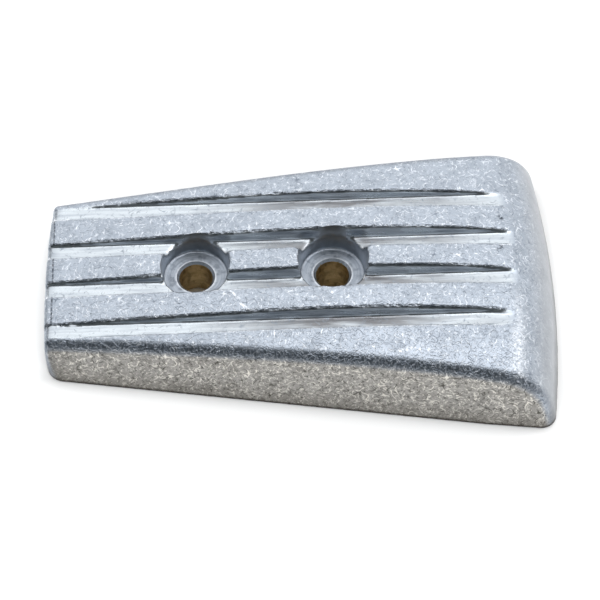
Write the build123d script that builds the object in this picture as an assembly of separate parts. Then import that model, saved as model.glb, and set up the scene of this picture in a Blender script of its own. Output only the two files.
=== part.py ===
from build123d import *
from OCP.BRepFilletAPI import BRepFilletAPI_MakeFillet
from math import asin, atan2, cos, degrees, radians, sin, sqrt, tan
import os

os.makedirs("parts", exist_ok=True)

# Sizes in mm. X runs from the narrow end to the wide end, Z away from the hull.
# The middle of the length, on the flat mounting face, is the origin.
length = 127.8
narrow_width = 46.0
wide_width = 78.0
side_draft = 8.0
narrow_draft = 2.0
narrow_bow = 400.0
wide_slope = 15.0

# The crowned top: three tangent arcs along the length, one radius across it.
crest_height = 20.1
crest_from_narrow = 94.8
narrow_arc = 3000.0
middle_arc = 500.0
wide_arc = 200.0
crown_radius = 255.0

# Rounded edges of the casting.
shoulder_round = 15.0
side_round = 3.8
narrow_round = 1.4
foot_round = 5.0
base_break = 0.4

# Four grooves with straight floors that run out where the top meets them.
groove_floor = 3.6
groove_draft = 16.5
groove_root = 0.4
inner_groove = 5.85
outer_groove = 17.9
groove_below_crest = 7.3
groove_rise = 0.048

# Two counterbored holes for M8 screws on the centre line.
screw_from_narrow = 37.3
screw_spacing = 34.0
bore_diameter = 8.4
bore_break = 0.6
seat_diameter = 16.0
seat_draft = 5.0
seat_root = 0.4
seat_round = 0.5
narrow_seat = 10.7
wide_seat = 11.7

narrow_x = -length / 2
wide_x = length / 2
crest_x = narrow_x + crest_from_narrow

# Every shape cut from the block reaches past the casting by at least this much.
clear = crest_height


def across(x, z, direction):
    """A plane across the anode, square to a direction in its upright middle plane."""
    return Plane(origin=(x, 0, z), x_dir=(0, 1, 0), z_dir=direction)


def over_crown(radius):
    """The space outside a bowed face, drawn with the middle of the face at the origin."""
    half = wide_width
    drop = radius - sqrt(radius**2 - half**2)
    arc = ThreePointArc((-half, -drop), (0, 0), (half, -drop))
    roof = Polyline((half, -drop), (half, 2 * clear), (-half, 2 * clear), (-half, -drop))
    return make_face([arc.edge(), *roof.edges()])


# The tapered block between the two long sides, which lean in. It is longer than the anode at both ends.
flare = (wide_width - narrow_width) / 2 / length
narrow_half = narrow_width / 2 - flare * clear
wide_half = wide_width / 2 + flare * clear
footprint = Polyline(
    (narrow_x - clear, -narrow_half),
    (wide_x + clear, -wide_half),
    (wide_x + clear, wide_half),
    (narrow_x - clear, narrow_half),
    close=True,
)
body = extrude(make_face(footprint), amount=crest_height + clear, taper=side_draft)

# The narrow end is bowed a little and leans in, for the mould.
narrow_up = (sin(radians(narrow_draft)), 0, cos(radians(narrow_draft)))
body -= extrude(across(narrow_x, 0, narrow_up) * over_crown(narrow_bow), amount=3 * clear, both=True)

# The wide end slopes and carries the same crown as the top. Its rounded foot is where the length ends.
foot = base_break * (1 / tan(radians(45 - wide_slope / 2)) - 1)
slope_down = (sin(radians(wide_slope)), 0, -cos(radians(wide_slope)))
body -= extrude(across(wide_x + foot, 0, slope_down) * over_crown(crown_radius), amount=3 * clear, both=True)

# The top follows the flat arc at the narrow end, the middle arc and the tight arc at the wide end.
# The first two join midway between the screws, and the last two at the crest.
join_from_narrow = screw_from_narrow + screw_spacing / 2
reach_narrow = degrees((join_from_narrow + clear) / narrow_arc)
reach_middle = degrees(asin((crest_from_narrow - join_from_narrow) / middle_arc))
reach_wide = degrees((length - crest_from_narrow + clear) / wide_arc)
crest = (crest_x, crest_height)
wide_path = Plane.XZ * JernArc(crest, (1, 0), wide_arc, -reach_wide)
middle_path = Plane.XZ * JernArc(crest, (-1, 0), middle_arc, reach_middle)
join = middle_path @ 1
join_way = middle_path % 1
narrow_path = Plane.XZ * JernArc((join.X, join.Z), (join_way.X, join_way.Z), narrow_arc, reach_narrow)
crest_face = across(crest_x, crest_height, (1, 0, 0)) * over_crown(crown_radius)
join_face = across(join.X, join.Z, (-join_way.X, 0, -join_way.Z)) * over_crown(crown_radius)
body -= sweep(crest_face, path=wide_path)
body -= sweep(crest_face, path=middle_path)
body -= sweep(join_face, path=narrow_path)

# The shoulder between the top and the wide end, then one round along each side and down its corner.
end_face = body.faces().sort_by(Axis.X)[-1]
body = fillet(end_face.edges().sort_by(Axis.Z)[-1], shoulder_round)
sides = body.faces().sort_by(Axis.Y)
rims = ShapeList()
for side in (sides[0], sides[-1]):
    above_base = side.edges().sort_by(Axis.Z)[1:]
    rims += above_base.sort_by(Axis.X)[1:]
body = fillet(rims, side_round)

# The narrow end is rounded all the way round above the mounting face. The round is one chain of edges,
# up one corner, over the top and down the other corner, and it grows towards the foot of both corners.
narrow_face = body.faces().sort_by(Axis.X)[0]
rounding = BRepFilletAPI_MakeFillet(body.wrapped)
rounding.Add(narrow_round, narrow_face.edges().sort_by(Axis.Z)[-1].wrapped)
chain = rounding.NbContours()
links = range(1, rounding.NbEdges(chain) + 1)
rounding.SetRadius(foot_round, narrow_round, chain, links[0])
rounding.SetRadius(narrow_round, foot_round, chain, links[-1])
body = Part(rounding.Shape())
body = fillet(body.faces().sort_by(Axis.Z)[0].edges(), base_break)

# Each screw hole: a plain bore, a broken edge at the seat and a counterbore with mould draft.
bore_radius = bore_diameter / 2
seat_radius = seat_diameter / 2
mouth_radius = seat_radius + clear * tan(radians(seat_draft))
rim_radius = bore_radius + bore_break
stand = (Align.CENTER, Align.CENTER, Align.MIN)
seat_tool = Cone(seat_radius, mouth_radius, clear, align=stand)
seat_tool = fillet(seat_tool.edges().group_by(Axis.Z)[0], seat_root)

# The seam of each counterbore is turned to where a groove will cut it away.
seam_turn = degrees(atan2(inner_groove, seat_radius))
screws = ((screw_from_narrow, narrow_seat), (screw_from_narrow + screw_spacing, wide_seat))
for station, seat in screws:
    hole = Pos(narrow_x + station, 0, 0)
    body -= hole * Cylinder(bore_radius, seat, align=stand)
    body -= hole * Pos(0, 0, seat - bore_break) * Cone(bore_radius, rim_radius, bore_break, align=stand)
    body -= hole * Pos(0, 0, seat) * Rot(0, 0, seam_turn) * seat_tool

# The mouth of each counterbore is rounded, and so are the ribs it will cut through.
mouths = ShapeList()
for wall in body.faces().filter_by(GeomType.CONE).sort_by(SortBy.AREA)[-len(screws):]:
    mouths += wall.edges().filter_by(GeomType.LINE, reverse=True).sort_by(Axis.Z)[1:]
body = fillet(mouths, seat_round)

# One groove, drawn across its run with small rounded roots, and cut four times.
half_floor = groove_floor / 2
half_mouth = half_floor + clear * tan(radians(groove_draft))
groove = make_face(
    Polyline((-half_floor, 0), (half_floor, 0), (half_mouth, clear), (-half_mouth, clear), close=True)
)
groove = fillet(groove.vertices().sort_by(Axis.Y)[:2], groove_root)
run = across(narrow_x, crest_height - groove_below_crest, (1, 0, groove_rise)).offset(-clear)
for offset in (-outer_groove, -inner_groove, inner_groove, outer_groove):
    body -= extrude(run * Pos(offset, 0) * groove, amount=length + 2 * clear)

export_step(body, "parts/anode_body.step")
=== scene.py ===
import math

import bmesh
import bpy
from mathutils import Matrix, Vector
from mathutils.bvhtree import BVHTree
from mathutils.kdtree import KDTree


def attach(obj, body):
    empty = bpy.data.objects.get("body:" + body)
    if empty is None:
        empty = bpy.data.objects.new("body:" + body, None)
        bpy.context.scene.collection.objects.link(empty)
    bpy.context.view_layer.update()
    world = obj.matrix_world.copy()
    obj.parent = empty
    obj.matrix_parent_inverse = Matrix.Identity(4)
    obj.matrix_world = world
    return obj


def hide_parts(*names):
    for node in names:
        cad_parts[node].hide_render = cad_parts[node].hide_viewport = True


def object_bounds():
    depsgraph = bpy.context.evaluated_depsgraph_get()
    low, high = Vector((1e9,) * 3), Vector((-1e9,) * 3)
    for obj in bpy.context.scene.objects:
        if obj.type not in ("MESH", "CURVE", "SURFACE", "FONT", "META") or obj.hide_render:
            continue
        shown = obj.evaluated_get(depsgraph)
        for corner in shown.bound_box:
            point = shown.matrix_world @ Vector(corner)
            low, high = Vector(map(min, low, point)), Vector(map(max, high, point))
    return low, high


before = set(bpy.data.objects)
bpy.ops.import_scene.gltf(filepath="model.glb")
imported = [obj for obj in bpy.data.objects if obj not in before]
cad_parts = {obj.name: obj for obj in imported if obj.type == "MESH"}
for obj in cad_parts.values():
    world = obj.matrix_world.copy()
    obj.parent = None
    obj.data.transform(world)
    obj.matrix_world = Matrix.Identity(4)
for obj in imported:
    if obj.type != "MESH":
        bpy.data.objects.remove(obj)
cad_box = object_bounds()

# The casting: zinc poured into a mould in one piece, with draft on every wall, then tumbled with
# hard chips that dent its skin. It is carried over from the solid as an even net of small faces,
# with the solid's sharp edges kept.
MM = 0.001
NET = 0.44 * MM
SHARP = math.radians(25)
ARRIS_STEP = NET / 4
CATCH = 0.45 * NET
WELD = 0.001 * MM
MERGE = 0.03 * MM
SLIVER = 0.01 * MM


def ramp(value, start, end):
    """How far a value lies on the way between two others, from 0 to 1."""
    return min(1.0, max(0.0, (value - start) / (end - start)))


solid = bmesh.new()
solid.from_mesh(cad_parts["anode_body"].data)
bmesh.ops.remove_doubles(solid, verts=solid.verts, dist=WELD)
surface = BVHTree.FromBMesh(solid)
arrises = [edge for edge in solid.edges if edge.calc_face_angle(0.0) > SHARP]

arris_points = []
for edge in arrises:
    start, end = (vert.co.copy() for vert in edge.verts)
    steps = max(1, math.ceil((end - start).length / ARRIS_STEP))
    for step in range(steps + 1):
        arris_points.append((start.lerp(end, step / steps), start, end))
arris_tree = KDTree(len(arris_points))
for index, (point, start, end) in enumerate(arris_points):
    arris_tree.insert(point, index)
arris_tree.balance()

casting_mesh = bpy.data.meshes.new("anode_casting")
solid.to_mesh(casting_mesh)
solid.free()
casting = bpy.data.objects.new("anode_casting", casting_mesh)
bpy.context.scene.collection.objects.link(casting)
evened = casting.modifiers.new("even_net", "REMESH")
evened.mode = "SHARP"
evened.octree_depth = 9
evened.scale = (cad_box[1][0] - cad_box[0][0]) / (NET * 2**evened.octree_depth)
evened.use_remove_disconnected = False
bpy.context.view_layer.update()
net = bpy.data.meshes.new_from_object(casting.evaluated_get(bpy.context.evaluated_depsgraph_get()))
casting.modifiers.remove(evened)

points = []
on_arris = []
for vert in net.vertices:
    found, index, gap = arris_tree.find(vert.co)
    if gap < CATCH:
        start, end = arris_points[index][1:]
        along = (vert.co - start).dot(end - start) / (end - start).length_squared
        points.append(start.lerp(end, ramp(along, 0.0, 1.0)))
        on_arris.append(True)
    else:
        points.append(surface.find_nearest(vert.co)[0])
        on_arris.append(False)

triangles = []
for face in net.polygons:
    a, b, c, d = face.vertices
    if on_arris[a] and on_arris[c]:
        split_ac = True
    elif on_arris[b] and on_arris[d]:
        split_ac = False
    else:
        split_ac = (points[a] - points[c]).length < (points[b] - points[d]).length
    triangles += [(a, b, c), (a, c, d)] if split_ac else [(a, b, d), (b, c, d)]
bpy.data.meshes.remove(net)

body = bmesh.new()
corners = [body.verts.new(point) for point in points]
for triangle in triangles:
    body.faces.new([corners[index] for index in triangle])
bmesh.ops.remove_doubles(body, verts=body.verts, dist=MERGE)
bmesh.ops.dissolve_degenerate(body, edges=body.edges, dist=SLIVER)
body.normal_update()

# The sizes of the holes and grooves, which tell the casting's surfaces apart.
SCREW_HOLES = ((-26.6 * MM, 10.7 * MM), (7.4 * MM, 11.7 * MM))
BORE_RADIUS = 4.2 * MM
SEAT_RADIUS = 8.0 * MM
SEAT_DRAFT = math.tan(math.radians(5.0))
GROOVES = (5.85 * MM, 17.9 * MM)
GROOVE_HALF = 1.8 * MM
GROOVE_DRAFT = math.tan(math.radians(16.5))
GROOVE_START = 12.8 * MM
GROOVE_RISE = 0.048
NARROW_X = -63.9 * MM
RIB_FOOT = GROOVES[0] + GROOVE_HALF
FLARE = 0.55 * MM
FLARE_HEIGHT = 2.5 * MM
FLARE_MERGE = 0.15 * MM


def over_floor(spot):
    """How far a spot lies above the floors of the grooves, which rise towards the wide end."""
    return spot.z - GROOVE_START - GROOVE_RISE * (spot.x - NARROW_X)


def seat_reach(spot, seat):
    """The radius of a counterbore at the height of a spot. It flares in the ribs beside it."""
    reach = SEAT_RADIUS + max(0.0, spot.z - seat) * SEAT_DRAFT
    if abs(spot.y) > RIB_FOOT:
        reach += FLARE * ramp(over_floor(spot), 0.0, FLARE_HEIGHT) ** 2
    return reach


# The counterbores are worn wider where they cut into the ribs beside them.
flared = []
for vert in body.verts:
    for hole_x, seat in SCREW_HOLES:
        out = Vector((vert.co.x - hole_x, vert.co.y, 0.0))
        reach = seat_reach(vert.co, seat)
        if vert.co.z > seat and abs(vert.co.y) > RIB_FOOT and out.length < reach:
            vert.co += out * (reach / out.length - 1)
            flared.append(vert)
bmesh.ops.remove_doubles(body, verts=flared, dist=FLARE_MERGE)
bmesh.ops.dissolve_degenerate(body, edges=body.edges, dist=SLIVER)
body.normal_update()

# Which surface each small face belongs to.
SKIN, GROOVE, SEAT, BORE, BACK = range(5)
TOUCH = 0.04 * MM
BELOW_SEAT = 1.0 * MM
FACING_DOWN = -0.9


def surface_of(spot, normal):
    """Which of the casting's surfaces a small face lies on."""
    if normal.z < FACING_DOWN and spot.z < TOUCH:
        return BACK
    for hole_x, seat in SCREW_HOLES:
        out = math.hypot(spot.x - hole_x, spot.y)
        if out < BORE_RADIUS + TOUCH and spot.z < seat:
            return BORE
        if spot.z > seat - BELOW_SEAT and out < seat_reach(spot, seat) + TOUCH:
            return SEAT
    above = over_floor(spot)
    for offset in GROOVES:
        if above > -TOUCH and abs(abs(spot.y) - offset) < GROOVE_HALF + above * GROOVE_DRAFT + TOUCH:
            return GROOVE
    return SKIN


for face in body.faces:
    face.material_index = surface_of(face.calc_center_median(), face.normal)
    face.smooth = True

# The floors of the grooves are rounded at the narrow end as the ribs are.
END_ROUNDS = (1.5 * MM, 2.0 * MM)
END_BOW = 400 * MM
END_LEAN = math.tan(math.radians(2.0))
for vert in body.verts:
    x, y, z = vert.co
    above = over_floor(vert.co)
    end_x = NARROW_X + y * y / (2 * END_BOW) + z * END_LEAN
    for offset, radius in zip(GROOVES, END_ROUNDS):
        from_axis = Vector((x - end_x - radius, above + radius))
        in_groove = abs(abs(y) - offset) < GROOVE_HALF
        if in_groove and from_axis.x < 0 < from_axis.y and from_axis.length > radius:
            turned_in = from_axis.normalized() * radius
            vert.co.x += turned_in.x - from_axis.x
            vert.co.z += turned_in.y - from_axis.y

# The casting isn't quite true. The top of its narrow end and the foot of its near side stand out a little.
# Its far side stands out towards the narrow end and lies in towards the wide end. The ramps are in mm.
END_OUT = 0.35 * MM
FAR_OUT = 0.6 * MM
FAR_IN = 0.22 * MM
FOOT_OUT = 0.5 * MM
for vert in body.verts:
    x, y, z = vert.co / MM
    vert.co.x -= END_OUT * ramp(x, -57, -63) * ramp(y, -20, 5) * ramp(z, 2, 11)
    vert.co.y += FAR_OUT * ramp(y, 19.7, 20.7) * ramp(x, 20, -64)
    vert.co.y -= FAR_IN * ramp(y, 19.7, 20.7) * ramp(x, 20, 45)
    vert.co.y -= FOOT_OUT * ramp(-y, 18, 22) * ramp(z, 12, 0) * ramp(x, 58, 44)

# Tumbling wears the edges of the ribs round, and the lips where the grooves break into the counterbores.
# The edges are worn more where the grooves run out.
RUN_OUT_X = 46 * MM
rib_edges = set()
run_outs = set()
lips = set()
for edge in body.edges:
    kinds = {face.material_index for face in edge.link_faces}
    if kinds == {SKIN, GROOVE}:
        rib_edges.update(edge.verts)
        run_outs.update([vert for vert in edge.verts if vert.co.x > RUN_OUT_X])
    elif kinds == {SEAT, GROOVE}:
        lips.update(edge.verts)
for edge_line, rings, turns in ((rib_edges, 1, 3), (run_outs, 2, 6), (lips, 2, 8)):
    worn = set(edge_line)
    for ring in range(rings):
        worn.update([edge.other_vert(vert) for vert in worn for edge in vert.link_edges])
    worn = [vert for vert in body.verts if vert in worn]
    for turn in range(turns):
        bmesh.ops.smooth_vert(body, verts=worn, factor=0.5, use_axis_x=True, use_axis_y=True, use_axis_z=True)

# The flat mounting face needs few faces: one sheet between its outline and the two bores.
bmesh.ops.delete(body, geom=[face for face in body.faces if face.material_index == BACK], context="FACES")
outline = [edge for edge in body.edges if edge.is_boundary]
sheet = bmesh.ops.triangle_fill(body, edges=outline, use_beauty=True, use_dissolve=False)
body.normal_update()
for face in sheet["geom"]:
    if isinstance(face, bmesh.types.BMFace):
        face.material_index = BACK
        if face.normal.z > 0:
            face.normal_flip()
body.normal_update()

# Only the broken edge of each bore and the edges of the mounting face stay sharp.
BREAK_EDGE = 4.8 * MM
NEAR_BREAK = 5.2 * MM
SHARP_BEND = math.radians(30)
for edge in body.edges:
    kinds = {face.material_index for face in edge.link_faces}
    middle = (edge.verts[0].co + edge.verts[1].co) / 2
    out = min(math.hypot(middle.x - hole_x, middle.y) for hole_x, seat in SCREW_HOLES)
    bend = edge.calc_face_angle(0.0)
    edge.smooth = not (BACK in kinds and len(kinds) > 1 or out < NEAR_BREAK and bend > SHARP_BEND)

# A few deeper pits in the skin, as (x, y, radius), and three long scratches, from (x, y) to (x, y), in mm.
PITS = (
    (-2.7, -12.2, 0.5),
    (0.5, -12.5, 0.5),
    (49.5, 11.9, 1.0),
    (49.1, 3.0, 0.9),
    (48.3, 1.8, 0.8),
)
PIT_DEPTH = 0.25 * MM
SCRATCHES = (
    ((22.8, -27.5), (25.7, -26.5)),
    ((-17.8, -8.9), (-15.8, -11.3)),
    ((-15.3, -12.7), (-12.9, -14.9)),
)
SCRATCH_HALF = 0.4 * MM

# What the finishes follow. Each spot is dented, chipped, rubbed or pitted to some degree, and lies on a steep
# wall, a long side, a rim, the wide end, the fading end of a floor or an arch that a counterbore cuts into
# a rib. Chipped edges that face the near side also carry a painted dark reflection, rubbed places painted
# highlights and the arches painted shade. A map in mm lies flat on each side and runs round each hole.
UPWARD = 0.8
CHIPS_FULL = 42 * MM
CHIPS_END = 50 * MM
CHIPS_LEAST = 0.2
FLOOR_FADE = 1.8 * MM
RIDGE_LEAN = 0.34
RIDGE_SPREAD = 0.22
RIM_LEAN = 0.6
RIM_SPREAD = 0.4
dented = body.verts.layers.float.new("dented")
chips_and_dark_reflection = body.verts.layers.float.new("chips_and_dark_reflection")
flank = body.verts.layers.float.new("flank")
wide_end = body.verts.layers.float.new("wide_end")
rubbed = body.verts.layers.float.new("rubbed")
steep = body.verts.layers.float.new("steep")
pitted = body.verts.layers.float.new("pitted")
fading = body.verts.layers.float.new("fading")
rim = body.verts.layers.float.new("rim")
arched = body.verts.layers.float.new("arched")
map_mm = body.loops.layers.uv.new("map_mm")
floor_ends = {}
for face in body.faces:
    if face.material_index == GROOVE:
        middle = face.calc_center_median()
        line = min(GROOVES, key=lambda offset: abs(abs(middle.y) - offset))
        floor_ends[line] = max(middle.x, floor_ends.get(line, middle.x))
for vert in body.verts:
    kinds = {face.material_index for face in vert.link_faces}
    vert[dented] = 1.0 if kinds == {SKIN} else 0.3 if kinds <= {SKIN, GROOVE} else 0.0
    vert[steep] = ramp(vert.normal.z, 0.9, 0.5)
    if kinds >= {SKIN, GROOVE} and vert.normal.z < 0.95:
        # Edges that face the near side: chipped in the geometry, and darkened with a painted dark reflection.
        if vert.normal.y < -0.1:
            vert[chips_and_dark_reflection] = max(CHIPS_LEAST, ramp(vert.co.x, CHIPS_END, CHIPS_FULL))
        # Edges that face away get a painted highlight.
        vert[rubbed] = float(vert.normal.y > 0.05)
    if GROOVE in kinds:
        line = min(GROOVES, key=lambda offset: abs(abs(vert.co.y) - offset))
        vert[fading] = ramp(vert.co.x, floor_ends[line] - FLOOR_FADE, floor_ends[line])
    if SEAT in kinds and abs(vert.co.y) > RIB_FOOT:
        aside = min(abs(vert.co.x - hole_x) for hole_x, seat in SCREW_HOLES)
        # Painted shade: a dark arch where a counterbore wall cuts into a rib.
        vert[arched] = 0.85 * ramp(over_floor(vert.co), -1 * MM, 2 * MM) * ramp(aside, 4.5 * MM, 1.5 * MM)
    # Lips, mouths and the broken edge of each bore get a painted highlight, partly rubbed wear.
    if kinds >= {SEAT, GROOVE}:
        vert[rubbed] = 1.0 - vert[steep]
    elif kinds >= {SEAT, SKIN}:
        vert[rubbed] = max(0.0, abs(vert.normal.x) - abs(vert.normal.y))
    elif kinds == {SEAT}:
        out = min(math.hypot(vert.co.x - hole_x, vert.co.y) for hole_x, seat in SCREW_HOLES)
        vert[rubbed] = 0.5 if abs(out - BREAK_EDGE) < 2 * TOUCH else 0.0
    if kinds == {SKIN}:
        vert[flank] = ramp(abs(vert.normal.y), 0.8, 0.95)
        vert[wide_end] = ramp(vert.normal.x, 0.5, 0.8)
        vert[rim] = max(0.0, 1.0 - abs(abs(vert.normal.y) - RIM_LEAN) / RIM_SPREAD)
        vert[rim] *= 1.0 - 0.6 * ramp(vert.co.x, 36 * MM, 58 * MM)
    if kinds == {SKIN} and vert.normal.z > UPWARD:
        # The ridge before the wide end gets a painted highlight, and the scratches are rubbed bright.
        ridge = max(0.0, 0.8 - abs(vert.normal.x - RIDGE_LEAN) / RIDGE_SPREAD)
        vert[rubbed] = ridge * ramp(-vert.co.y, 5 * MM, 25 * MM)
        spot = vert.co.xy
        for x, y, radius in PITS:
            away = (spot - Vector((x, y)) * MM).length / (radius * MM)
            vert[pitted] = max(vert[pitted], 1 - away * away)
        for start, end in SCRATCHES:
            start, end = Vector(start) * MM, Vector(end) * MM
            along = ramp((spot - start).dot(end - start) / (end - start).length_squared, 0.0, 1.0)
            away = (spot - start.lerp(end, along)).length / SCRATCH_HALF
            vert[rubbed] = max(vert[rubbed], 1.5 * (1 - away))
for vert in body.verts:
    if vert[pitted]:
        vert.co.z -= vert[pitted] * PIT_DEPTH
for face in body.faces:
    if face.material_index in (SEAT, BORE):
        middle = face.calc_center_median()
        hole_x = min((hole_x for hole_x, seat in SCREW_HOLES), key=lambda x: abs(x - middle.x))
        first = math.atan2(middle.y, middle.x - hole_x)
        for loop in face.loops:
            x, y, z = loop.vert.co
            angle = math.atan2(y, x - hole_x)
            angle += 2 * math.pi * round((first - angle) / (2 * math.pi))
            out = math.hypot(x - hole_x, y)
            loop[map_mm].uv = (angle * SEAT_RADIUS / MM, (out + z) / MM)
    else:
        facing = max(range(3), key=lambda axis: abs(face.normal[axis]))
        for loop in face.loops:
            x, y, z = loop.vert.co / MM
            loop[map_mm].uv = ((y, z), (x, z), (x, y))[facing]
body.to_mesh(casting_mesh)
body.free()


def add(tree, kind, wires=(), **settings):
    """Adds a node with its settings, and links or sets its inputs."""
    made = tree.nodes.new(kind)
    for name, value in settings.items():
        setattr(made, name, value)
    for socket, value in dict(wires).items():
        if isinstance(value, bpy.types.NodeSocket):
            tree.links.new(value, made.inputs[socket])
        else:
            made.inputs[socket].default_value = value
    return made


def linear(code):
    """An sRGB hex colour as linear values."""
    parts = [int(code[i : i + 2], 16) / 255 for i in (1, 3, 5)]
    return [p / 12.92 if p <= 0.04045 else ((p + 0.055) / 1.055) ** 2.4 for p in parts] + [1.0]


# One layer of the marks that the tumbling chips leave: fine winding lines, broken into short lengths,
# each with a tone from -1 to 1. Sizes in mm.
marks = bpy.data.node_groups.new("chip_marks", "ShaderNodeTree")
marks.interface.new_socket("Place", in_out="INPUT", socket_type="NodeSocketVector")
for name in ("Pitch", "Width", "Seed"):
    marks.interface.new_socket(name, in_out="INPUT", socket_type="NodeSocketFloat")
for name in ("Mark", "Tone"):
    marks.interface.new_socket(name, in_out="OUTPUT", socket_type="NodeSocketFloat")
given = add(marks, "NodeGroupInput").outputs
grid = add(marks, "ShaderNodeVectorMath", {0: given["Place"], 1: given["Pitch"]}, operation="DIVIDE")
moved = add(marks, "ShaderNodeVectorMath", {0: grid.outputs[0], 1: given["Seed"]}, operation="ADD").outputs[0]
field = add(
    marks, "ShaderNodeTexNoise", {"Vector": moved, "Scale": 1.0, "Detail": 0.0}, noise_dimensions="2D"
)
level = add(marks, "ShaderNodeMath", {0: field.outputs[0], 1: 0.5}, operation="SUBTRACT")
away = add(marks, "ShaderNodeMath", {0: level.outputs[0]}, operation="ABSOLUTE")
line = add(
    marks,
    "ShaderNodeMapRange",
    {"Value": away.outputs[0], "From Min": 0.0, "From Max": given["Width"], "To Min": 1.0, "To Max": 0.0},
    interpolation_type="SMOOTHSTEP",
)
gaps = add(
    marks, "ShaderNodeTexNoise", {"Vector": moved, "Scale": 0.83, "Detail": 0.0}, noise_dimensions="2D"
)
gate = add(
    marks,
    "ShaderNodeMapRange",
    {"Value": gaps.outputs["Color"], "From Min": 0.36, "From Max": 0.5, "To Min": 0.0, "To Max": 1.0},
    interpolation_type="SMOOTHSTEP",
)
mark = add(marks, "ShaderNodeMath", {0: line.outputs[0], 1: gate.outputs[0]}, operation="MULTIPLY")
hue = add(marks, "ShaderNodeTexNoise", {"Vector": moved, "Scale": 0.9, "Detail": 1.0}, noise_dimensions="2D")
tone = add(marks, "ShaderNodeMath", {0: hue.outputs[0], 1: 6.0, 2: -3.0}, operation="MULTIPLY_ADD")
add(marks, "NodeGroupOutput", {"Mark": mark.outputs[0], "Tone": tone.outputs[0]})

# Tumbled zinc: dull blue-grey metal under a felt of tiny winding scratches, some bright and some dark.
# The long sides are painted a warmer tone, a painted reflection of warm surroundings, and the wide end is
# smoother.
skin = bpy.data.materials.new("tumbled_zinc")
skin.use_nodes = True
tree = skin.node_tree
shader = tree.nodes["Principled BSDF"]
shader.inputs["Metallic"].default_value = 1.0
spot = add(tree, "ShaderNodeUVMap", uv_map="map_mm").outputs[0]
place = add(tree, "ShaderNodeSeparateXYZ", {0: add(tree, "ShaderNodeTexCoord").outputs["Object"]}).outputs
flanks = add(tree, "ShaderNodeAttribute", attribute_name="flank").outputs["Fac"]
ends = add(tree, "ShaderNodeAttribute", attribute_name="wide_end").outputs["Fac"]
tones = []
# Rows: top, long side, wide end. The long-side tints carry the painted warm reflection.
for top, side, end in (
    ("#A8B0BB", "#9B9995", "#9EA2A8"),
    ("#F1F5FB", "#E2DED6", "#B4B8BC"),
    ("#737B86", "#4F4D48", "#8E9297"),
):
    tone = linear(top)
    for share, tint in ((flanks, side), (ends, end)):
        wires = {"Factor": share, "A": tone, "B": linear(tint)}
        tone = add(tree, "ShaderNodeMix", wires, data_type="RGBA").outputs[2]
    tones.append(tone)
colour, bright, dark = tones
cloud = add(
    tree, "ShaderNodeTexNoise", {"Vector": spot, "Scale": 1 / 5.0, "Detail": 3.0}, noise_dimensions="2D"
)
dull = add(
    tree, "ShaderNodeMapRange", {"Value": cloud.outputs[0], "From Min": 0.42, "From Max": 0.72, "To Max": 0.2}
)
wires = {"Factor": dull.outputs[0], "A": colour, "B": dark}
colour = add(tree, "ShaderNodeMix", wires, data_type="RGBA").outputs[2]
height = 0.0
for pitch, width, seed, shine, shade in (
    (1.7, 0.075, 3.0, 0.55, 0.52),
    (1.2, 0.085, 41.0, 0.52, 0.50),
    (0.8, 0.095, 97.0, 0.48, 0.46),
    (2.8, 0.035, 155.0, 0.70, 0.58),
):
    broad = add(tree, "ShaderNodeMath", {0: flanks, 1: 0.4 * width, 2: width}, operation="MULTIPLY_ADD")
    wires = {"Place": spot, "Pitch": pitch, "Width": broad.outputs[0], "Seed": seed}
    layer = add(tree, "ShaderNodeGroup", wires, node_tree=marks)
    for strength, tint in ((shine, bright), (-shade, dark)):
        wires = {0: flanks, 1: 0.65 * strength, 2: strength}
        harder = add(tree, "ShaderNodeMath", wires, operation="MULTIPLY_ADD")
        wires = {0: layer.outputs["Tone"], 1: harder.outputs[0]}
        side = add(tree, "ShaderNodeMath", wires, operation="MULTIPLY", use_clamp=True)
        wires = {0: side.outputs[0], 1: layer.outputs["Mark"]}
        shown = add(tree, "ShaderNodeMath", wires, operation="MULTIPLY")
        wires = {"Factor": shown.outputs[0], "A": colour, "B": tint}
        colour = add(tree, "ShaderNodeMix", wires, data_type="RGBA").outputs[2]
    height = add(tree, "ShaderNodeMath", {0: layer.outputs["Mark"], 1: height}, operation="ADD").outputs[0]

# The rounded rims are darkened with a painted dark reflection. The ridge before the wide end and the edges
# carry painted highlights in patches, and the scratches are rubbed bright.
rims = add(tree, "ShaderNodeAttribute", attribute_name="rim").outputs["Fac"]
# Painted dark reflection on the rounded rims.
rim_dark_reflection = add(tree, "ShaderNodeMath", {0: rims, 1: 0.5}, operation="MULTIPLY")
wires = {"Factor": rim_dark_reflection.outputs[0], "A": colour, "B": linear("#434C57")}
colour = add(tree, "ShaderNodeMix", wires, data_type="RGBA").outputs[2]
# Painted highlights on the ridge and the edges, with the rubbed scratches, in patches.
wear_and_glint = add(tree, "ShaderNodeAttribute", attribute_name="rubbed").outputs["Fac"]
patchy = add(tree, "ShaderNodeTexNoise", {"Vector": spot, "Scale": 1.4, "Detail": 3.0}, noise_dimensions="2D")
patch = add(tree, "ShaderNodeMapRange", {"Value": patchy.outputs[0], "From Min": 0.3, "From Max": 0.65})
wear_and_glint = add(tree, "ShaderNodeMath", {0: wear_and_glint, 1: patch.outputs[0]}, operation="MULTIPLY").outputs[0]
colour = add(tree, "ShaderNodeMix", {"Factor": wear_and_glint, "A": colour, "B": bright}, data_type="RGBA").outputs[2]

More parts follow.
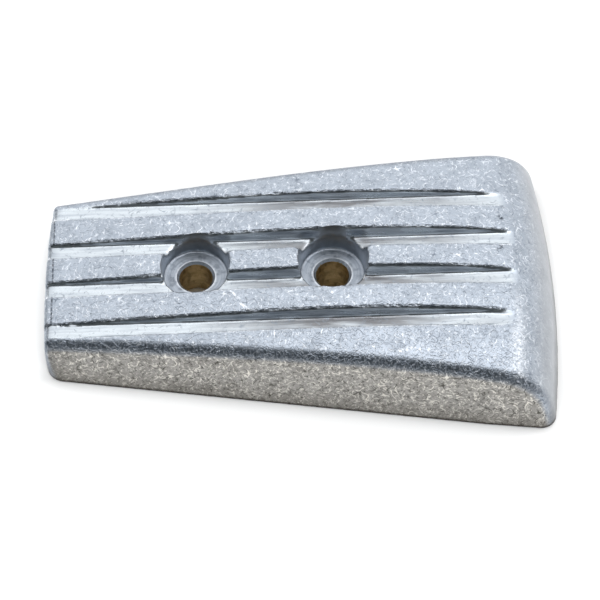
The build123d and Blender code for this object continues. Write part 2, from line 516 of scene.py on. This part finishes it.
# The pits are darker, and a dark broken line runs along the top of the narrow end. Painted shade darkens the
# long sides towards the narrow end's corner, a strip along the narrow end and the long sides towards the
# foot, and a painted shadow lies in a dark line round the foot.
DASH_LINE = 61.9 * MM
END_SLANT = 0.035
grit = add(tree, "ShaderNodeTexNoise", {"Vector": spot, "Scale": 1.6, "Detail": 1.0}, noise_dimensions="2D")
grit = add(tree, "ShaderNodeMapRange", {"Value": grit.outputs[0], "From Min": 0.4, "From Max": 0.6})
pits = add(tree, "ShaderNodeAttribute", attribute_name="pitted").outputs["Fac"]
pits = add(tree, "ShaderNodeMath", {0: pits, 1: grit.outputs[0]}, operation="MULTIPLY").outputs[0]
slant = add(tree, "ShaderNodeMath", {0: place[1], 1: END_SLANT, 2: place[0]}, operation="MULTIPLY_ADD")
aside = add(tree, "ShaderNodeMath", {0: slant.outputs[0], 1: DASH_LINE}, operation="ADD")
aside = add(tree, "ShaderNodeMath", {0: aside.outputs[0]}, operation="ABSOLUTE")
dash = add(
    tree,
    "ShaderNodeMapRange",
    {"Value": aside.outputs[0], "From Min": 0.12 * MM, "From Max": 0.3 * MM, "To Min": 0.9, "To Max": 0.0},
)
high = add(tree, "ShaderNodeMapRange", {"Value": place[2], "From Min": GROOVE_START, "From Max": 13.0 * MM})
dash = add(tree, "ShaderNodeMath", {0: dash.outputs[0], 1: high.outputs[0]}, operation="MULTIPLY")
broken = add(tree, "ShaderNodeMath", {0: grit.outputs[0], 1: 0.6, 2: 0.4}, operation="MULTIPLY_ADD")
dash = add(tree, "ShaderNodeMath", {0: dash.outputs[0], 1: broken.outputs[0]}, operation="MULTIPLY")
# The pits and a broken line along the top of the narrow end are darkened.
for share in (pits, dash.outputs[0]):
    mix = add(tree, "ShaderNodeMix", {"Factor": share, "A": colour, "B": linear("#343A42")}, data_type="RGBA")
    colour = mix.outputs[2]
# Painted shade on the long sides towards the corner of the narrow end.
corner = add(
    tree,
    "ShaderNodeMapRange",
    {"Value": place[0], "From Min": -63.6 * MM, "From Max": -54.0 * MM, "To Min": 0.45, "To Max": 0.0},
)
corner = add(tree, "ShaderNodeMath", {0: corner.outputs[0], 1: flanks}, operation="MULTIPLY")
wires = {"Factor": corner.outputs[0], "A": colour, "B": dark}
colour = add(tree, "ShaderNodeMix", wires, data_type="RGBA").outputs[2]
# Painted shade along the narrow end and towards the foot, and a painted shadow in a dark line round the foot.
for value, low, high, most, tint in (
    (slant.outputs[0], -62.6, -60.8, 0.14, "#4E5661"),
    (place[2], 0.0, 7.0, 0.45, "#5E5950"),
    (place[2], 0.5, 1.3, 0.97, "#231C15"),
):
    painted_shade = add(
        tree,
        "ShaderNodeMapRange",
        {"Value": value, "From Min": low * MM, "From Max": high * MM, "To Min": most, "To Max": 0.0},
    )
    wires = {"Factor": painted_shade.outputs[0], "A": colour, "B": linear(tint)}
    colour = add(tree, "ShaderNodeMix", wires, data_type="RGBA").outputs[2]
tree.links.new(colour, shader.inputs["Base Color"])

# The marks are shallower on the wide end and deeper on the rims.
dim = add(
    tree,
    "ShaderNodeMapRange",
    {"Value": cloud.outputs[0], "From Min": 0.3, "From Max": 0.7, "To Min": 0.32, "To Max": 0.4},
)
tree.links.new(dim.outputs[0], shader.inputs["Roughness"])
deeper = add(tree, "ShaderNodeMath", {0: ends, 1: -0.85, 2: 1.0}, operation="MULTIPLY_ADD")
deeper = add(tree, "ShaderNodeMath", {0: deeper.outputs[0], 1: rims}, operation="ADD")
height = add(tree, "ShaderNodeMath", {0: height, 1: deeper.outputs[0]}, operation="MULTIPLY").outputs[0]
bump = add(tree, "ShaderNodeBump", {"Height": height, "Strength": 1.0, "Distance": 0.032 * MM}, invert=True)
tree.links.new(bump.outputs[0], shader.inputs["Normal"])
casting_mesh.materials.append(skin)

# Moulded zinc in the grooves: smoother and brighter than the skin, with long streaks from the mould and a
# few faint chip marks. The floors carry a mottled painted shade in the middle and at the narrow end, and are
# duller at the wide end. The chipped edges that face the near side are darkened with a painted dark
# reflection, and the edges that face away and the lips carry painted highlights, partly rubbed wear.
SHADE_MIDDLE_X = 11 * MM
moulded = bpy.data.materials.new("moulded_zinc")
moulded.use_nodes = True
tree = moulded.node_tree
shader = tree.nodes["Principled BSDF"]
shader.inputs["Metallic"].default_value = 1.0
spot = add(tree, "ShaderNodeUVMap", uv_map="map_mm").outputs[0]
place = add(tree, "ShaderNodeSeparateXYZ", {0: add(tree, "ShaderNodeTexCoord").outputs["Object"]}).outputs
walls = add(tree, "ShaderNodeAttribute", attribute_name="steep").outputs["Fac"]
edges = add(tree, "ShaderNodeAttribute", attribute_name="chips_and_dark_reflection").outputs["Fac"]
wear_and_glint = add(tree, "ShaderNodeAttribute", attribute_name="rubbed").outputs["Fac"]
drawn = add(tree, "ShaderNodeVectorMath", {0: spot, 1: (0.09, 1.1, 1.0)}, operation="MULTIPLY")
wires = {"Vector": drawn.outputs[0], "Scale": 1.0, "Detail": 4.0}
streak = add(tree, "ShaderNodeTexNoise", wires, noise_dimensions="2D")
share = add(tree, "ShaderNodeMapRange", {"Value": streak.outputs[0], "From Min": 0.42, "From Max": 0.7})
floors = add(
    tree,
    "ShaderNodeMix",
    {"Factor": share.outputs[0], "A": linear("#CAD1D7"), "B": linear("#B5BCC4")},
    data_type="RGBA",
)
# Painted shade on the floors, deepest in their middle, mottled.
off = add(tree, "ShaderNodeMath", {0: place[0], 1: SHADE_MIDDLE_X}, operation="SUBTRACT")
off = add(tree, "ShaderNodeMath", {0: off.outputs[0]}, operation="ABSOLUTE")
middle = add(
    tree,
    "ShaderNodeMapRange",
    {"Value": off.outputs[0], "From Min": 8 * MM, "From Max": 40 * MM, "To Min": 0.95, "To Max": 0.0},
)
long = add(tree, "ShaderNodeVectorMath", {0: spot, 1: (0.07, 0.5, 1.0)}, operation="MULTIPLY")
wires = {"Vector": long.outputs[0], "Scale": 1.0, "Detail": 4.0}
blot = add(tree, "ShaderNodeTexNoise", wires, noise_dimensions="2D")
blot = add(tree, "ShaderNodeMapRange", {"Value": blot.outputs[0], "From Min": 0.25, "From Max": 0.55})
middle_shade = add(tree, "ShaderNodeMath", {0: middle.outputs[0], 1: blot.outputs[0]}, operation="MULTIPLY")
floors = add(
    tree,
    "ShaderNodeMix",
    {"Factor": middle_shade.outputs[0], "A": floors.outputs[2], "B": linear("#78787B")},
    data_type="RGBA",
)
for pitch, seed in ((1.9, 211.0), (1.1, 263.0)):
    wires = {"Place": spot, "Pitch": pitch, "Width": 0.11, "Seed": seed}
    layer = add(tree, "ShaderNodeGroup", wires, node_tree=marks)
    wires = {0: layer.outputs["Tone"], 1: 0.6}
    nick = add(tree, "ShaderNodeMath", wires, operation="MULTIPLY", use_clamp=True)
    nick = add(tree, "ShaderNodeMath", {0: nick.outputs[0], 1: layer.outputs["Mark"]}, operation="MULTIPLY")
    floors = add(
        tree,
        "ShaderNodeMix",
        {"Factor": nick.outputs[0], "A": floors.outputs[2], "B": linear("#8D959F")},
        data_type="RGBA",
    )
# Painted shade on the floors at the narrow end.
narrow_end_shade = add(
    tree,
    "ShaderNodeMapRange",
    {"Value": place[0], "From Min": -62.6 * MM, "From Max": -60.6 * MM, "To Min": 0.35, "To Max": 0.0},
)
floors = add(
    tree,
    "ShaderNodeMix",
    {"Factor": narrow_end_shade.outputs[0], "A": floors.outputs[2], "B": linear("#7C848F")},
    data_type="RGBA",
)
sides = add(
    tree,
    "ShaderNodeMix",
    {"Factor": share.outputs[0], "A": linear("#BCC2C8"), "B": linear("#959BA3")},
    data_type="RGBA",
)
mix = add(
    tree, "ShaderNodeMix", {"Factor": walls, "A": floors.outputs[2], "B": sides.outputs[2]}, data_type="RGBA"
)
teeth = add(tree, "ShaderNodeTexNoise", {"Vector": spot, "Scale": 0.9, "Detail": 1.0}, noise_dimensions="2D")
tooth = add(
    tree, "ShaderNodeMapRange", {"Value": teeth.outputs[0], "From Min": 0.35, "From Max": 0.6, "To Min": 0.25}
)
# Painted dark reflection along the chipped edges that face the near side.
burr_and_dark_reflection = add(tree, "ShaderNodeMath", {0: edges, 1: tooth.outputs[0]}, operation="MULTIPLY")
mix = add(
    tree,
    "ShaderNodeMix",
    {"Factor": burr_and_dark_reflection.outputs[0], "A": mix.outputs[2], "B": linear("#2A2F36")},
    data_type="RGBA",
)
fade = add(tree, "ShaderNodeAttribute", attribute_name="fading").outputs["Fac"]
# Painted highlights on edges that face away and on the lips, partly rubbed wear.
for share, tint in ((wear_and_glint, "#F1F5FA"), (fade, "#A8B0BB")):
    wires = {"Factor": share, "A": mix.outputs[2], "B": linear(tint)}
    mix = add(tree, "ShaderNodeMix", wires, data_type="RGBA")
tree.links.new(mix.outputs[2], shader.inputs["Base Color"])
gloss = add(tree, "ShaderNodeMapRange", {"Value": streak.outputs[0], "To Min": 0.22, "To Max": 0.36})
tree.links.new(gloss.outputs[0], shader.inputs["Roughness"])
bump = add(tree, "ShaderNodeBump", {"Height": streak.outputs[0], "Strength": 0.8, "Distance": 0.05 * MM})
tree.links.new(bump.outputs[0], shader.inputs["Normal"])
casting_mesh.materials.append(moulded)

# Turned zinc in the counterbores: fine rings left by the cutter under dark smudges, walls painted paler as
# painted light, rubbed edges with painted highlights, and a dark arch of painted shade where each wall cuts
# into a rib. The bores are the same, but painted brown-gold as a painted reflection of warm surroundings.
# Seat tints: steep walls painted paler as painted light, arches as painted shade, rubbed places as painted
# highlights partly from wear.
SEAT_PLACES = (("steep", "#C3CAD3"), ("arched", "#66635D"), ("rubbed", "#F1F5FA"))
for name, pale, deep, stain, ring, roughness, worn_and_painted_places in (
    ("turned_zinc", "#A3AAB3", "#8E959F", "#5A6069", 2.6, 0.40, SEAT_PLACES),
    # The bores' brown-gold is a painted reflection of warm surroundings.
    ("bore_zinc", "#D0BB91", "#B5A27A", "#8A7850", 0.7, 0.44, ()),
):
    turned = bpy.data.materials.new(name)
    turned.use_nodes = True
    tree = turned.node_tree
    shader = tree.nodes["Principled BSDF"]
    shader.inputs["Metallic"].default_value = 1.0
    shader.inputs["Roughness"].default_value = roughness
    spot = add(tree, "ShaderNodeUVMap", uv_map="map_mm").outputs[0]
    drawn = add(tree, "ShaderNodeVectorMath", {0: spot, 1: (0.12, ring, 1.0)}, operation="MULTIPLY")
    wires = {"Vector": drawn.outputs[0], "Scale": 1.0, "Detail": 3.0}
    rings = add(tree, "ShaderNodeTexNoise", wires, noise_dimensions="2D")
    share = add(tree, "ShaderNodeMapRange", {"Value": rings.outputs[0], "From Min": 0.35, "From Max": 0.65})
    wires = {"Factor": share.outputs[0], "A": linear(pale), "B": linear(deep)}
    mix = add(tree, "ShaderNodeMix", wires, data_type="RGBA")
    wires = {"Vector": spot, "Scale": 0.45, "Detail": 4.0}
    smudge = add(tree, "ShaderNodeTexNoise", wires, noise_dimensions="2D")
    wires = {"Value": smudge.outputs[0], "From Min": 0.48, "From Max": 0.7, "To Max": 0.6}
    smudge = add(tree, "ShaderNodeMapRange", wires)
    wires = {"Factor": smudge.outputs[0], "A": mix.outputs[2], "B": linear(stain)}
    mix = add(tree, "ShaderNodeMix", wires, data_type="RGBA")
    for place, tint in worn_and_painted_places:
        share = add(tree, "ShaderNodeAttribute", attribute_name=place).outputs["Fac"]
        wires = {"Factor": share, "A": mix.outputs[2], "B": linear(tint)}
        mix = add(tree, "ShaderNodeMix", wires, data_type="RGBA")
    tree.links.new(mix.outputs[2], shader.inputs["Base Color"])
    bump = add(tree, "ShaderNodeBump", {"Height": rings.outputs[0], "Strength": 0.8, "Distance": 0.02 * MM})
    tree.links.new(bump.outputs[0], shader.inputs["Normal"])
    casting_mesh.materials.append(turned)

# The hidden mounting face: plain cast zinc, a little mottled.
plain = bpy.data.materials.new("plain_zinc")
plain.use_nodes = True
tree = plain.node_tree
shader = tree.nodes["Principled BSDF"]
shader.inputs["Metallic"].default_value = 1.0
shader.inputs["Roughness"].default_value = 0.42
spot = add(tree, "ShaderNodeUVMap", uv_map="map_mm").outputs[0]
cloud = add(tree, "ShaderNodeTexNoise", {"Vector": spot, "Scale": 0.3, "Detail": 6.0}, noise_dimensions="2D")
mix = add(
    tree,
    "ShaderNodeMix",
    {"Factor": cloud.outputs[0], "A": linear("#8F959D"), "B": linear("#AFB4BB")},
    data_type="RGBA",
)
tree.links.new(mix.outputs[2], shader.inputs["Base Color"])
casting_mesh.materials.append(plain)

# Tumbling also leaves broad shallow dents all over the skin, and chips the edges of the ribs. The noise
# seldom passes the level that is taken off it, so both go inwards.
tumbling = bpy.data.node_groups.new("tumbling", "GeometryNodeTree")
tumbling.interface.new_socket("Casting", in_out="INPUT", socket_type="NodeSocketGeometry")
DENTS = {"Dent depth": 0.05 * MM, "Dent pitch": 1.7 * MM, "Chip depth": 1.0 * MM, "Chip pitch": 0.9 * MM}
HIGHEST = 0.75
sockets = {}
for name in DENTS:
    sockets[name] = tumbling.interface.new_socket(name, in_out="INPUT", socket_type="NodeSocketFloat")
tumbling.interface.new_socket("Casting", in_out="OUTPUT", socket_type="NodeSocketGeometry")
given = add(tumbling, "NodeGroupInput").outputs
where = add(tumbling, "GeometryNodeInputPosition").outputs[0]
outward = add(tumbling, "GeometryNodeInputNormal").outputs[0]
moves = []
for depth, pitch, mask in (("Dent depth", "Dent pitch", "dented"), ("Chip depth", "Chip pitch", "chips_and_dark_reflection")):
    scale = add(tumbling, "ShaderNodeMath", {0: 1.0, 1: given[pitch]}, operation="DIVIDE")
    noise = add(tumbling, "ShaderNodeTexNoise", {"Vector": where, "Scale": scale.outputs[0], "Detail": 1.0})
    level = add(tumbling, "ShaderNodeMath", {0: noise.outputs[0], 1: HIGHEST}, operation="SUBTRACT")
    share = add(tumbling, "GeometryNodeInputNamedAttribute", {"Name": mask}, data_type="FLOAT")
    deep = add(tumbling, "ShaderNodeMath", {0: given[depth], 1: share.outputs[0]}, operation="MULTIPLY")
    move = add(tumbling, "ShaderNodeMath", {0: level.outputs[0], 1: deep.outputs[0]}, operation="MULTIPLY")
    moves.append(move.outputs[0])
both = add(tumbling, "ShaderNodeMath", {0: moves[0], 1: moves[1]}, operation="ADD")
shift = add(tumbling, "ShaderNodeVectorMath", {0: outward, "Scale": both.outputs[0]}, operation="SCALE")
moved = add(tumbling, "GeometryNodeSetPosition", {"Geometry": given["Casting"], "Offset": shift.outputs[0]})
single = add(tumbling, "GeometryNodeRealizeInstances", {0: moved.outputs[0]})
index = add(tumbling, "GeometryNodeInputMaterialIndex")
wires = {2: index.outputs[0], 3: SKIN}
on_skin = add(tumbling, "FunctionNodeCompare", wires, data_type="INT", operation="EQUAL")
finished = add(
    tumbling,
    "GeometryNodeSetMaterial",
    {"Geometry": single.outputs[0], "Selection": on_skin.outputs[0], "Material": skin},
)
add(tumbling, "NodeGroupOutput", {0: finished.outputs[0]})
tumbled = casting.modifiers.new("tumbling", "NODES")
tumbled.node_group = tumbling
for name, size in DENTS.items():
    tumbled[sockets[name].identifier] = size
bpy.context.view_layer.update()
casting.data = bpy.data.meshes.new_from_object(casting.evaluated_get(bpy.context.evaluated_depsgraph_get()))
casting.modifiers.clear()

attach(casting, "root")
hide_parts("anode_body")

# The studio: a pale floor, a wide soft light overhead and behind, and a dim room in front. The floor is
# lifted to white away from the casting's foot, which keeps its shadow.
REACH = 6.0
UNDER = -0.1 * MM
FOOT_HALF = 31 * MM
FOOT_FLARE = 0.125
SHADE = 3 * MM
LIFT = 0.15
floor_mesh = bpy.data.meshes.new("floor")
floor_mesh.from_pydata(
    [(-REACH, -REACH, UNDER), (REACH, -REACH, UNDER), (REACH, REACH, UNDER), (-REACH, REACH, UNDER)],
    [],
    [(0, 1, 2, 3)],
)
floor = bpy.data.objects.new("floor", floor_mesh)
bpy.context.scene.collection.objects.link(floor)
floor_finish = bpy.data.materials.new("white_floor")
floor_finish.use_nodes = True
floor_shader = floor_finish.node_tree.nodes["Principled BSDF"]
floor_shader.inputs["Base Color"].default_value = linear("#F6F6F6")
floor_shader.inputs["Roughness"].default_value = 0.9
floor_shader.inputs["Emission Color"].default_value = linear("#FFFFFF")
tree = floor_finish.node_tree
under = add(tree, "ShaderNodeSeparateXYZ", {0: add(tree, "ShaderNodeTexCoord").outputs["Object"]}).outputs
along = add(tree, "ShaderNodeMath", {0: under[0]}, operation="ABSOLUTE").outputs[0]
across = add(tree, "ShaderNodeMath", {0: under[1]}, operation="ABSOLUTE").outputs[0]
past_end = add(tree, "ShaderNodeMath", {0: along, 1: -NARROW_X}, operation="SUBTRACT").outputs[0]
half = add(tree, "ShaderNodeMath", {0: under[0], 1: FOOT_FLARE, 2: FOOT_HALF}, operation="MULTIPLY_ADD")
past_side = add(tree, "ShaderNodeMath", {0: across, 1: half.outputs[0]}, operation="SUBTRACT").outputs[0]
away = add(tree, "ShaderNodeMath", {0: past_end, 1: past_side}, operation="MAXIMUM").outputs[0]
lit = add(tree, "ShaderNodeMapRange", {"Value": away, "From Min": 0.0, "From Max": SHADE, "To Max": LIFT})
rays = add(tree, "ShaderNodeLightPath").outputs
seen = add(tree, "ShaderNodeMath", {0: rays["Is Camera Ray"], 1: rays["Is Glossy Ray"]}, operation="ADD")
seen = add(tree, "ShaderNodeMath", {0: seen.outputs[0], 1: rays["Is Transmission Ray"]}, operation="ADD")
lift = add(tree, "ShaderNodeMath", {0: seen.outputs[0], 1: lit.outputs[0]}, operation="MULTIPLY")
tree.links.new(lift.outputs[0], floor_shader.inputs["Emission Strength"])
floor_mesh.materials.append(floor_finish)

world = bpy.data.worlds.new("room")
world.use_nodes = True
world.node_tree.nodes["Background"].inputs["Color"].default_value = linear("#F3FCFF")
world.node_tree.nodes["Background"].inputs["Strength"].default_value = 0.12
bpy.context.scene.world = world

# Each lamp's name, place, facing, width, depth and radiance, and whether the metal mirrors it.
LAMPS = (
    ("overhead", (-0.3, 2.4, 1.5), (0.0, 0.0, -1.0), 5.0, 5.0, 1.29, True),
    ("right_wall", (3.0, 2.0, 0.75), (-1.0, 0.0, 0.0), 5.0, 1.5, 1.30, True),
    ("left_wall", (-3.0, 2.0, 0.75), (1.0, 0.0, 0.0), 5.0, 1.5, 0.45, True),
    ("back_wall", (0.0, 4.5, 0.75), (0.0, -1.0, 0.0), 6.0, 1.5, 1.10, True),
    ("key", (0.7, 0.28, 1.4), (0.0, 0.0, -1.0), 1.9, 0.7, 1.1, True),
    ("front_fill", (0.0, -1.8, 1.26), (0.0, 1.8, -1.26), 3.0, 1.0, 5.0, False),
)
for name, place, facing, width, depth, radiance, mirrored in LAMPS:
    lamp = bpy.data.lights.new(name, "AREA")
    lamp.shape = "RECTANGLE"
    lamp.size = width
    lamp.size_y = depth
    lamp.energy = math.pi * width * depth * radiance
    light = bpy.data.objects.new(name, lamp)
    light.location = place
    light.rotation_euler = Vector(facing).to_track_quat("-Z", "Y").to_euler()
    light.visible_glossy = mirrored
    bpy.context.scene.collection.objects.link(light)

# The camera stands where the outline, the grooves and the holes look as they do in the photo.
azimuth = math.radians(-0.5638)
elevation = math.radians(55.4521)
roll = math.radians(0.1298)
right = Vector((math.cos(azimuth), math.sin(azimuth), 0.0))
back = Vector(
    (
        math.sin(azimuth) * math.cos(elevation),
        -math.cos(azimuth) * math.cos(elevation),
        math.sin(elevation),
    )
)
up = back.cross(right)
right, up = (
    math.cos(roll) * right + math.sin(roll) * up,
    math.cos(roll) * up - math.sin(roll) * right,
)
lens = bpy.data.cameras.new("camera")
lens.lens = 114.95
lens.sensor_width = 36.0
lens.clip_start = 10 * MM
camera = bpy.data.objects.new("camera", lens)
aim = Vector((-0.726, -5.327, 8.0)) * MM
distance = 476.43 * MM
place = aim + back * distance
camera.matrix_world = Matrix(
    (
        (right.x, up.x, back.x, place.x),
        (right.y, up.y, back.y, place.y),
        (right.z, up.z, back.z, place.z),
        (0.0, 0.0, 0.0, 1.0),
    )
)
bpy.context.scene.collection.objects.link(camera)
bpy.context.scene.camera = camera
bpy.context.scene.view_settings.view_transform = "Standard"
